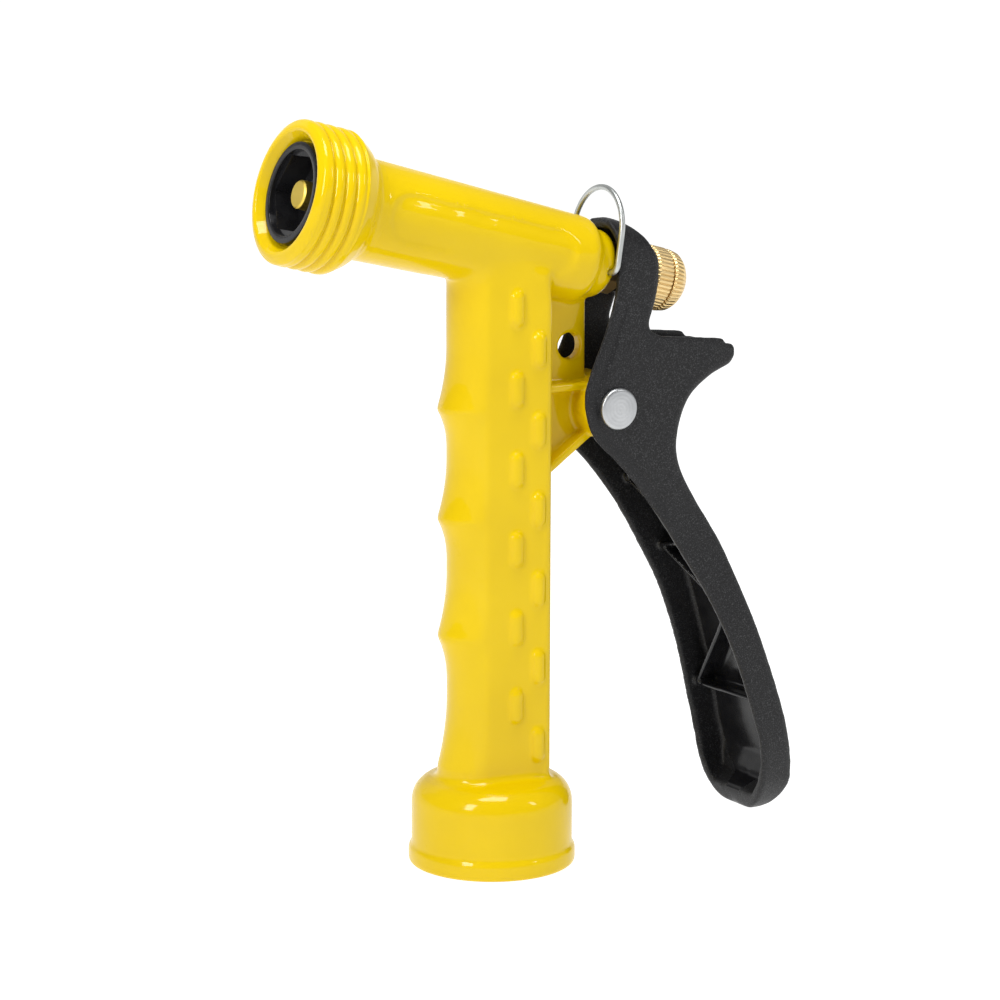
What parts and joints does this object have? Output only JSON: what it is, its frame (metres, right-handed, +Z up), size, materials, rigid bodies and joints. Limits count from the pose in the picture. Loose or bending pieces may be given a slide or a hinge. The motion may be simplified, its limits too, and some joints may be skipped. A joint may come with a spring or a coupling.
{
  "type": "hose spray nozzle",
  "caption": "Pistol-grip garden hose spray nozzle with rear squeeze lever, brass adjusting stem, threaded muzzle and wire hanging loop.",
  "frame": {"origin": "centre of the hose inlet's bottom face", "axes": "+Z up the handle, -X towards the muzzle, +X towards the lever, Y across; the part is symmetric about Y = 0"},
  "size_m": [0.1094, 0.0322, 0.1432],
  "materials": {
    "yellow_paint": "gloss",
    "black_textured": "fine-grained satin",
    "black_plastic": "satin",
    "brass": "machined satin",
    "steel": "plain",
    "zinc_wire": "zinc plated",
    "rivet_metal": "satin",
    "rubber": "matte"
  },
  "bodies": {
    "body": {"body_casting": "yellow_paint", "nozzle_insert": "black_plastic", "insert_seal": "rubber", "gland_washer": "steel", "stem_packing": "rubber", "packing_washer": "brass", "packing_nut": "brass", "pivot_rivet": "rivet_metal", "hose_washer": "rubber", "return_spring": "steel"},
    "stem": {"valve_stem": "brass", "valve_washer": "rubber", "washer_retainer": "brass", "spring_clip": "steel", "spring_seat": "steel"},
    "adjuster": {"adjusting_nut": "brass", "lock_nut": "brass"},
    "lever": {"trigger_lever": "black_textured"},
    "loop": {"wire_loop": "zinc_wire"}
  },
  "joints": [
    {"name": "trigger_pivot", "type": "hinge", "parent": "body", "child": "lever", "pos_m": [0.0231, 0, 0.08725], "axis": [0, 1, 0], "range_deg": [0, 12.5], "stiffness_Nm_per_rad": 0.9, "springref_deg": -11.46},
    {"name": "stem_slide", "type": "slide", "parent": "body", "child": "stem", "axis": [0.9703, 0, -0.2419], "range_m": [0, 0.0053], "deforming": ["return_spring"]},
    {"name": "knob_spin", "type": "hinge", "parent": "stem", "child": "adjuster", "pos_m": [0.03716, 0, 0.11053], "axis": [0.9703, 0, -0.2419], "continuous": true},
    {"name": "loop_swing", "type": "hinge", "parent": "body", "child": "loop", "pos_m": [0.02225, 0, 0.11312], "axis": [0, 1, 0], "range_deg": [-26, 38]}
  ],
  "couplings": [
    {"joint": "stem_slide", "follows": "trigger_pivot", "m_per_rad": 0.0241}
  ]
}
